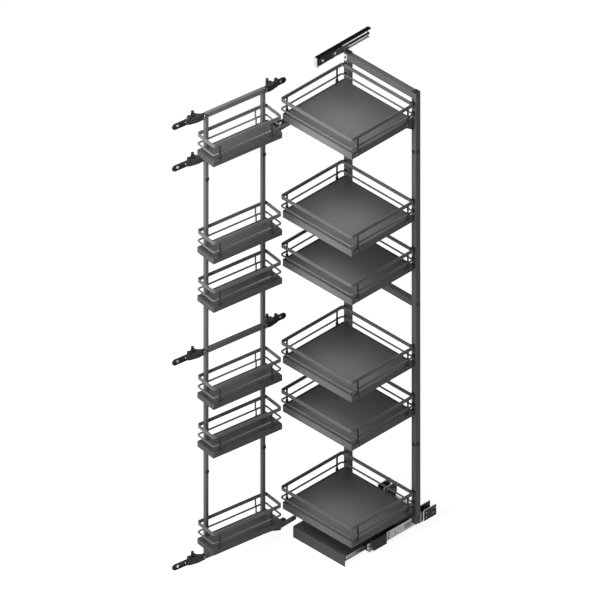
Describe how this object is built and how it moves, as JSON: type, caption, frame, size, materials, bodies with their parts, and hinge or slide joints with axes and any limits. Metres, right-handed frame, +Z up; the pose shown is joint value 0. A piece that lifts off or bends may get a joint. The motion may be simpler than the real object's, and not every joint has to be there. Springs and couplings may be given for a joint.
{
  "type": "pull out larder unit",
  "caption": "Tall pull-out larder unit: a cantilevered tray frame on floor slides, linked to a swinging door frame with narrow railed shelves.",
  "frame": {"origin": "centre of the four floor screws, on the cabinet floor", "axes": "+X across the cabinet to the right, +Y to its rear, +Z up"},
  "size_m": [0.4643, 0.9201, 2.005],
  "materials": {
    "anthracite_paint": "satin",
    "rail_paint": "satin",
    "zinc_steel": "satin",
    "bright_steel": "satin",
    "black_plastic": "matte"
  },
  "bodies": {
    "cabinet_rails": {"cross_bars": "zinc_steel", "rail_outer_right": "zinc_steel", "rail_outer_left": "zinc_steel", "rail_block_right": "black_plastic", "rail_block_left": "black_plastic", "rear_bracket_right": "black_plastic", "rear_bracket_left": "black_plastic", "top_guide_channel": "bright_steel"},
    "mid_rail_right": {"rail_mid_right": "zinc_steel"},
    "mid_rail_left": {"rail_mid_left": "zinc_steel"},
    "pull_out_frame": {"base_pan": "anthracite_paint", "rail_inner_right": "zinc_steel", "rail_inner_left": "zinc_steel", "post_left": "anthracite_paint", "post_right": "anthracite_paint", "top_crossbar": "anthracite_paint", "mid_crossbar": "anthracite_paint", "foot_crossbar": "anthracite_paint", "tray_pan_1": "anthracite_paint", "tray_pan_2": "anthracite_paint", "tray_pan_3": "anthracite_paint", "tray_pan_4": "anthracite_paint", "tray_pan_5": "anthracite_paint", "tray_pan_6": "anthracite_paint", "tray_rail_1": "rail_paint", "tray_rail_2": "rail_paint", "tray_rail_3": "rail_paint", "tray_rail_4": "rail_paint", "tray_rail_5": "rail_paint", "tray_rail_6": "rail_paint", "frame_clips": "black_plastic", "guide_carriage": "anthracite_paint", "guide_arm": "anthracite_paint"},
    "door_frame": {"door_post_hinge": "anthracite_paint", "door_post_free": "anthracite_paint", "door_bar_low": "anthracite_paint", "door_bar_mid": "anthracite_paint", "door_bar_high": "anthracite_paint", "door_bar_top": "anthracite_paint", "shelf_pan_1": "anthracite_paint", "shelf_pan_2": "anthracite_paint", "shelf_pan_3": "anthracite_paint", "shelf_pan_4": "anthracite_paint", "shelf_pan_5": "anthracite_paint", "shelf_pan_6": "anthracite_paint", "shelf_rail_1": "rail_paint", "shelf_rail_2": "rail_paint", "shelf_rail_3": "rail_paint", "shelf_rail_4": "rail_paint", "shelf_rail_5": "rail_paint", "shelf_rail_6": "rail_paint", "door_bracket_low": "black_plastic", "door_bracket_mid": "black_plastic", "door_bracket_high": "black_plastic", "door_bracket_top": "black_plastic", "door_clips": "black_plastic"},
    "link_low": {"link_arm_low": "anthracite_paint"},
    "link_high": {"link_arm_high": "anthracite_paint"},
    "guide_roller_front": {"guide_roller_front": "black_plastic"},
    "guide_roller_rear": {"guide_roller_rear": "black_plastic"}
  },
  "joints": [
    {"name": "door_swing", "type": "hinge", "parent": "cabinet_rails", "child": "door_frame", "pos_m": [-0.215, -0.315, 1], "axis": [0, 0, -1], "range_deg": [-98.2, 0]},
    {"name": "frame_slide", "type": "slide", "parent": "cabinet_rails", "child": "pull_out_frame", "axis": [0, -1, 0], "range_m": [-0.122, 0]},
    {"name": "mid_slide_right", "type": "slide", "parent": "cabinet_rails", "child": "mid_rail_right", "axis": [0, -1, 0], "range_m": [-0.061, 0]},
    {"name": "mid_slide_left", "type": "slide", "parent": "cabinet_rails", "child": "mid_rail_left", "axis": [0, -1, 0], "range_m": [-0.061, 0]},
    {"name": "link_low_swing", "type": "hinge", "parent": "door_frame", "child": "link_low", "pos_m": [-0.15407, -0.33388, 0.061], "axis": [0, 0, 1], "range_deg": [-122, 0]},
    {"name": "link_high_swing", "type": "hinge", "parent": "door_frame", "child": "link_high", "pos_m": [-0.15407, -0.33388, 1.81], "axis": [0, 0, 1], "range_deg": [-122, 0]},
    {"name": "roller_front_spin", "type": "hinge", "parent": "pull_out_frame", "child": "guide_roller_front", "pos_m": [-0.1939, -0.083, 1.97], "axis": [1, 0, 0], "continuous": true},
    {"name": "roller_rear_spin", "type": "hinge", "parent": "pull_out_frame", "child": "guide_roller_rear", "pos_m": [-0.1939, -0.019, 1.97], "axis": [1, 0, 0], "continuous": true}
  ],
  "couplings": [
    {"joint": "frame_slide", "follows": "door_swing", "m_per_rad": 0.07118},
    {"joint": "mid_slide_right", "follows": "door_swing", "m_per_rad": 0.03559},
    {"joint": "mid_slide_left", "follows": "door_swing", "m_per_rad": 0.03559},
    {"joint": "link_low_swing", "follows": "door_swing", "ratio": 1.24},
    {"joint": "link_high_swing", "follows": "door_swing", "ratio": 1.24}
  ]
}
